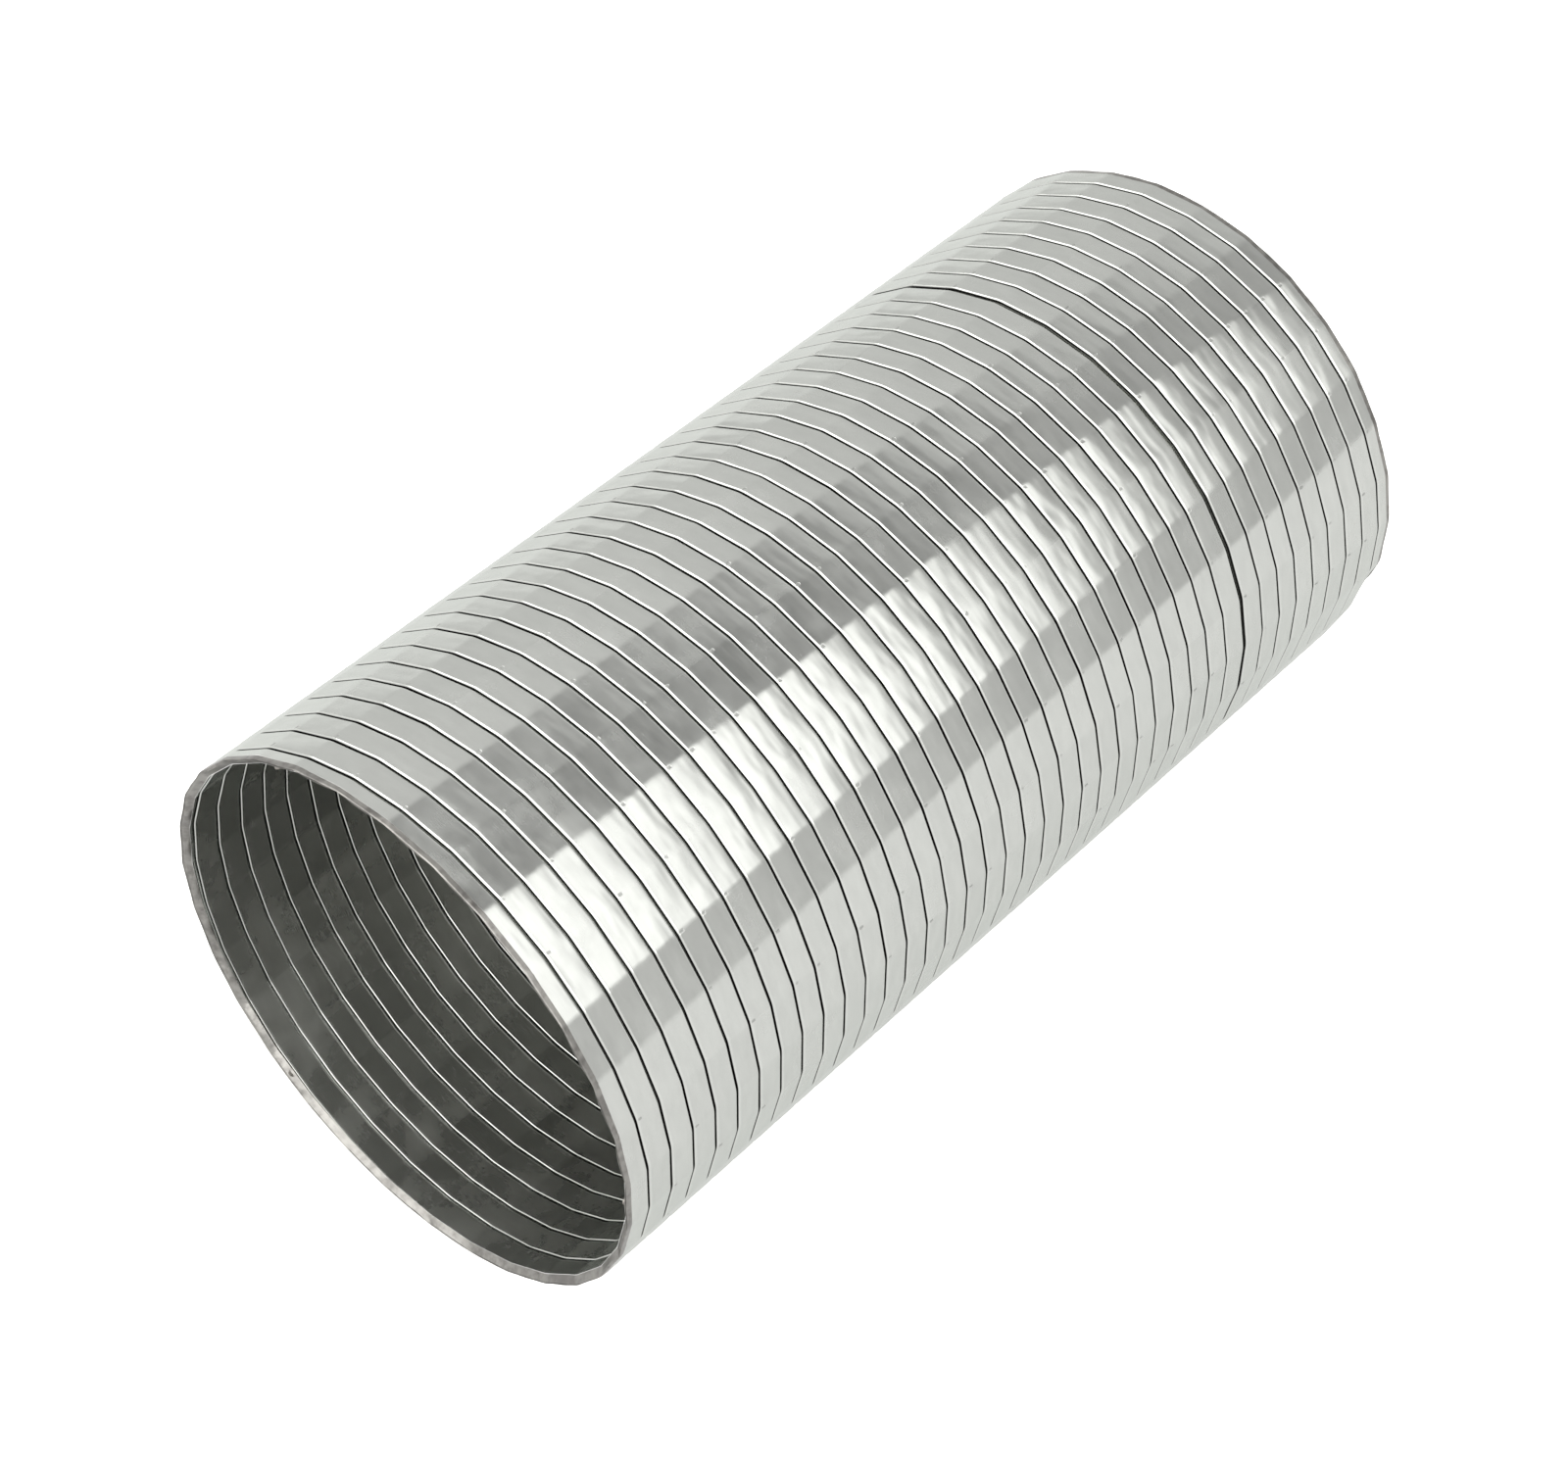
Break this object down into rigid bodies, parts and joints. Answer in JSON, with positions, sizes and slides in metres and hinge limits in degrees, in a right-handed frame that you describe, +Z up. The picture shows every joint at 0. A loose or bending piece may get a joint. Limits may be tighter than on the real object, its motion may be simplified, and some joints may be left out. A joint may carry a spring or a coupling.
{
  "type": "stripwound interlocked metal hose",
  "caption": "Straight length of stripwound, interlocked metal exhaust hose with a many-sided section; it slides longer and bends at every turn.",
  "frame": {"origin": "under the middle of the hose, on the plane that its lowest flats lie on", "axes": "+X along the hose from the near end to the far end, +Z up, +Y to the left looking along +X"},
  "size_m": [0.2522, 0.1286, 0.1285],
  "materials": {
    "strip_outside": "cold-rolled stainless strip, satin with faint scuffs",
    "strip_end": "trimmed strip, darker and duller inside the mouth",
    "weld": "heat-tinted resistance weld"
  },
  "bodies": {
    "near_end": {"near_end_lap": "strip_end", "strip_turn_01": "strip_outside", "near_end_tacks": "weld"},
    "turn_02": {"strip_turn_02": "strip_outside"},
    "turn_03": {"strip_turn_03": "strip_outside"},
    "turn_04": {"strip_turn_04": "strip_outside"},
    "turn_05": {"strip_turn_05": "strip_outside"},
    "turn_06": {"strip_turn_06": "strip_outside"},
    "turn_07": {"strip_turn_07": "strip_outside"},
    "turn_08": {"strip_turn_08": "strip_outside"},
    "turn_09": {"strip_turn_09": "strip_outside"},
    "turn_10": {"strip_turn_10": "strip_outside"},
    "turn_11": {"strip_turn_11": "strip_outside"},
    "turn_12": {"strip_turn_12": "strip_outside"},
    "turn_13": {"strip_turn_13": "strip_outside"},
    "turn_14": {"strip_turn_14": "strip_outside"},
    "turn_15": {"strip_turn_15": "strip_outside"},
    "turn_16": {"strip_turn_16": "strip_outside"},
    "turn_17": {"strip_turn_17": "strip_outside"},
    "turn_18": {"strip_turn_18": "strip_outside"},
    "turn_19": {"strip_turn_19": "strip_outside"},
    "turn_20": {"strip_turn_20": "strip_outside"},
    "turn_21": {"strip_turn_21": "strip_outside"},
    "turn_22": {"strip_turn_22": "strip_outside"},
    "turn_23": {"strip_turn_23": "strip_outside"},
    "turn_24": {"strip_turn_24": "strip_outside"},
    "turn_25": {"strip_turn_25": "strip_outside"},
    "turn_26": {"strip_turn_26": "strip_outside"},
    "turn_27": {"strip_turn_27": "strip_outside"},
    "turn_28": {"strip_turn_28": "strip_outside"},
    "turn_29": {"strip_turn_29": "strip_outside"},
    "turn_30": {"strip_turn_30": "strip_outside"},
    "turn_31": {"strip_turn_31": "strip_outside"},
    "turn_32": {"strip_turn_32": "strip_outside"},
    "turn_33": {"strip_turn_33": "strip_outside"},
    "turn_34": {"strip_turn_34": "strip_outside"},
    "turn_35": {"strip_turn_35": "strip_outside"},
    "turn_36": {"strip_turn_36": "strip_outside"},
    "turn_37": {"strip_turn_37": "strip_outside"},
    "turn_38": {"strip_turn_38": "strip_outside"},
    "far_end": {"strip_turn_39": "strip_outside", "strip_turn_40": "strip_outside", "far_end_tacks": "weld"}
  },
  "joints": [
    {"name": "stretch", "type": "slide", "parent": "near_end", "child": "turn_02", "axis": [1, 0, 0], "range_m": [-0.0003, 0.003]},
    {"name": "bend_up", "type": "hinge", "parent": "turn_02", "child": "turn_03", "pos_m": [-0.11198, 0, 0.12727], "axis": [0, -1, 0], "range_deg": [-0.12, 1.35]},
    {"name": "bend_left", "type": "hinge", "parent": "turn_03", "child": "turn_04", "pos_m": [-0.10562, 0.06317, 0.0641], "axis": [0, 0, 1], "range_deg": [-0.12, 1.35]},
    {"name": "bend_right", "type": "hinge", "parent": "turn_04", "child": "turn_05", "pos_m": [-0.09928, -0.06317, 0.0641], "axis": [0, 0, -1], "range_deg": [-0.12, 1.35]},
    {"name": "stretch_05", "type": "slide", "parent": "turn_05", "child": "turn_06", "axis": [1, 0, 0], "range_m": [-0.0003, 0.003]},
    {"name": "bend_up_06", "type": "hinge", "parent": "turn_06", "child": "turn_07", "pos_m": [-0.08657, 0, 0.12727], "axis": [0, -1, 0], "range_deg": [-0.12, 1.35]},
    {"name": "bend_left_07", "type": "hinge", "parent": "turn_07", "child": "turn_08", "pos_m": [-0.08023, 0.06317, 0.0641], "axis": [0, 0, 1], "range_deg": [-0.12, 1.35]},
    {"name": "bend_right_08", "type": "hinge", "parent": "turn_08", "child": "turn_09", "pos_m": [-0.07387, -0.06317, 0.0641], "axis": [0, 0, -1], "range_deg": [-0.12, 1.35]},
    {"name": "stretch_09", "type": "slide", "parent": "turn_09", "child": "turn_10", "axis": [1, 0, 0], "range_m": [-0.0003, 0.003]},
    {"name": "bend_up_10", "type": "hinge", "parent": "turn_10", "child": "turn_11", "pos_m": [-0.06118, 0, 0.12727], "axis": [0, -1, 0], "range_deg": [-0.12, 1.35]},
    {"name": "bend_left_11", "type": "hinge", "parent": "turn_11", "child": "turn_12", "pos_m": [-0.05482, 0.06317, 0.0641], "axis": [0, 0, 1], "range_deg": [-0.12, 1.35]},
    {"name": "bend_right_12", "type": "hinge", "parent": "turn_12", "child": "turn_13", "pos_m": [-0.04847, -0.06317, 0.0641], "axis": [0, 0, -1], "range_deg": [-0.12, 1.35]},
    {"name": "stretch_13", "type": "slide", "parent": "turn_13", "child": "turn_14", "axis": [1, 0, 0], "range_m": [-0.0003, 0.003]},
    {"name": "bend_up_14", "type": "hinge", "parent": "turn_14", "child": "turn_15", "pos_m": [-0.03578, 0, 0.12727], "axis": [0, -1, 0], "range_deg": [-0.12, 1.35]},
    {"name": "bend_left_15", "type": "hinge", "parent": "turn_15", "child": "turn_16", "pos_m": [-0.02942, 0.06317, 0.0641], "axis": [0, 0, 1], "range_deg": [-0.12, 1.35]},
    {"name": "bend_right_16", "type": "hinge", "parent": "turn_16", "child": "turn_17", "pos_m": [-0.02307, -0.06317, 0.0641], "axis": [0, 0, -1], "range_deg": [-0.12, 1.35]},
    {"name": "stretch_17", "type": "slide", "parent": "turn_17", "child": "turn_18", "axis": [1, 0, 0], "range_m": [-0.0003, 0.003]},
    {"name": "bend_up_18", "type": "hinge", "parent": "turn_18", "child": "turn_19", "pos_m": [-0.01038, 0, 0.12727], "axis": [0, -1, 0], "range_deg": [-0.12, 1.35]},
    {"name": "bend_left_19", "type": "hinge", "parent": "turn_19", "child": "turn_20", "pos_m": [-0.00402, 0.06317, 0.0641], "axis": [0, 0, 1], "range_deg": [-0.12, 1.35]},
    {"name": "bend_right_20", "type": "hinge", "parent": "turn_20", "child": "turn_21", "pos_m": [0.00232, -0.06317, 0.0641], "axis": [0, 0, -1], "range_deg": [-0.12, 1.35]},
    {"name": "stretch_21", "type": "slide", "parent": "turn_21", "child": "turn_22", "axis": [1, 0, 0], "range_m": [-0.0003, 0.003]},
    {"name": "bend_up_22", "type": "hinge", "parent": "turn_22", "child": "turn_23", "pos_m": [0.01503, 0, 0.12727], "axis": [0, -1, 0], "range_deg": [-0.12, 1.35]},
    {"name": "bend_left_23", "type": "hinge", "parent": "turn_23", "child": "turn_24", "pos_m": [0.02138, 0.06317, 0.0641], "axis": [0, 0, 1], "range_deg": [-0.12, 1.35]},
    {"name": "bend_right_24", "type": "hinge", "parent": "turn_24", "child": "turn_25", "pos_m": [0.02772, -0.06317, 0.0641], "axis": [0, 0, -1], "range_deg": [-0.12, 1.35]},
    {"name": "stretch_25", "type": "slide", "parent": "turn_25", "child": "turn_26", "axis": [1, 0, 0], "range_m": [-0.0003, 0.003]},
    {"name": "bend_up_26", "type": "hinge", "parent": "turn_26", "child": "turn_27", "pos_m": [0.04043, 0, 0.12727], "axis": [0, -1, 0], "range_deg": [-0.12, 1.35]},
    {"name": "bend_left_27", "type": "hinge", "parent": "turn_27", "child": "turn_28", "pos_m": [0.04677, 0.06317, 0.0641], "axis": [0, 0, 1], "range_deg": [-0.12, 1.35]},
    {"name": "bend_right_28", "type": "hinge", "parent": "turn_28", "child": "turn_29", "pos_m": [0.05312, -0.06317, 0.0641], "axis": [0, 0, -1], "range_deg": [-0.12, 1.35]},
    {"name": "stretch_29", "type": "slide", "parent": "turn_29", "child": "turn_30", "axis": [1, 0, 0], "range_m": [-0.0003, 0.003]},
    {"name": "bend_up_30", "type": "hinge", "parent": "turn_30", "child": "turn_31", "pos_m": [0.06582, 0, 0.12727], "axis": [0, -1, 0], "range_deg": [-0.12, 1.35]},
    {"name": "bend_left_31", "type": "hinge", "parent": "turn_31", "child": "turn_32", "pos_m": [0.07247, 0.06317, 0.0641], "axis": [0, 0, 1], "range_deg": [-0.1, 1.08]},
    {"name": "bend_right_32", "type": "hinge", "parent": "turn_32", "child": "turn_33", "pos_m": [0.07913, -0.06317, 0.0641], "axis": [0, 0, -1], "range_deg": [-0.12, 1.35]},
    {"name": "stretch_33", "type": "slide", "parent": "turn_33", "child": "turn_34", "axis": [1, 0, 0], "range_m": [-0.0003, 0.003]},
    {"name": "bend_up_34", "type": "hinge", "parent": "turn_34", "child": "turn_35", "pos_m": [0.09183, 0, 0.12727], "axis": [0, -1, 0], "range_deg": [-0.12, 1.35]},
    {"name": "bend_left_35", "type": "hinge", "parent": "turn_35", "child": "turn_36", "pos_m": [0.09817, 0.06317, 0.0641], "axis": [0, 0, 1], "range_deg": [-0.12, 1.35]},
    {"name": "bend_right_36", "type": "hinge", "parent": "turn_36", "child": "turn_37", "pos_m": [0.10453, -0.06317, 0.0641], "axis": [0, 0, -1], "range_deg": [-0.12, 1.35]},
    {"name": "stretch_37", "type": "slide", "parent": "turn_37", "child": "turn_38", "axis": [1, 0, 0], "range_m": [-0.0003, 0.003]},
    {"name": "bend_up_38", "type": "hinge", "parent": "turn_38", "child": "far_end", "pos_m": [0.11722, 0, 0.12727], "axis": [0, -1, 0], "range_deg": [-0.12, 1.35]}
  ],
  "couplings": [
    {"joint": "stretch_05", "follows": "stretch", "ratio": 1},
    {"joint": "bend_up_06", "follows": "bend_up", "ratio": 1},
    {"joint": "bend_left_07", "follows": "bend_left", "ratio": 1},
    {"joint": "bend_right_08", "follows": "bend_right", "ratio": 1},
    {"joint": "stretch_09", "follows": "stretch", "ratio": 1},
    {"joint": "bend_up_10", "follows": "bend_up", "ratio": 1},
    {"joint": "bend_left_11", "follows": "bend_left", "ratio": 1},
    {"joint": "bend_right_12", "follows": "bend_right", "ratio": 1},
    {"joint": "stretch_13", "follows": "stretch", "ratio": 1},
    {"joint": "bend_up_14", "follows": "bend_up", "ratio": 1},
    {"joint": "bend_left_15", "follows": "bend_left", "ratio": 1},
    {"joint": "bend_right_16", "follows": "bend_right", "ratio": 1},
    {"joint": "stretch_17", "follows": "stretch", "ratio": 1},
    {"joint": "bend_up_18", "follows": "bend_up", "ratio": 1},
    {"joint": "bend_left_19", "follows": "bend_left", "ratio": 1},
    {"joint": "bend_right_20", "follows": "bend_right", "ratio": 1},
    {"joint": "stretch_21", "follows": "stretch", "ratio": 1},
    {"joint": "bend_up_22", "follows": "bend_up", "ratio": 1},
    {"joint": "bend_left_23", "follows": "bend_left", "ratio": 1},
    {"joint": "bend_right_24", "follows": "bend_right", "ratio": 1},
    {"joint": "stretch_25", "follows": "stretch", "ratio": 1},
    {"joint": "bend_up_26", "follows": "bend_up", "ratio": 1},
    {"joint": "bend_left_27", "follows": "bend_left", "ratio": 1},
    {"joint": "bend_right_28", "follows": "bend_right", "ratio": 1},
    {"joint": "stretch_29", "follows": "stretch", "ratio": 1},
    {"joint": "bend_up_30", "follows": "bend_up", "ratio": 1},
    {"joint": "bend_left_31", "follows": "bend_left", "ratio": 0.8},
    {"joint": "bend_right_32", "follows": "bend_right", "ratio": 1},
    {"joint": "stretch_33", "follows": "stretch", "ratio": 1},
    {"joint": "bend_up_34", "follows": "bend_up", "ratio": 1},
    {"joint": "bend_left_35", "follows": "bend_left", "ratio": 1},
    {"joint": "bend_right_36", "follows": "bend_right", "ratio": 1},
    {"joint": "stretch_37", "follows": "stretch", "ratio": 1},
    {"joint": "bend_up_38", "follows": "bend_up", "ratio": 1}
  ]
}
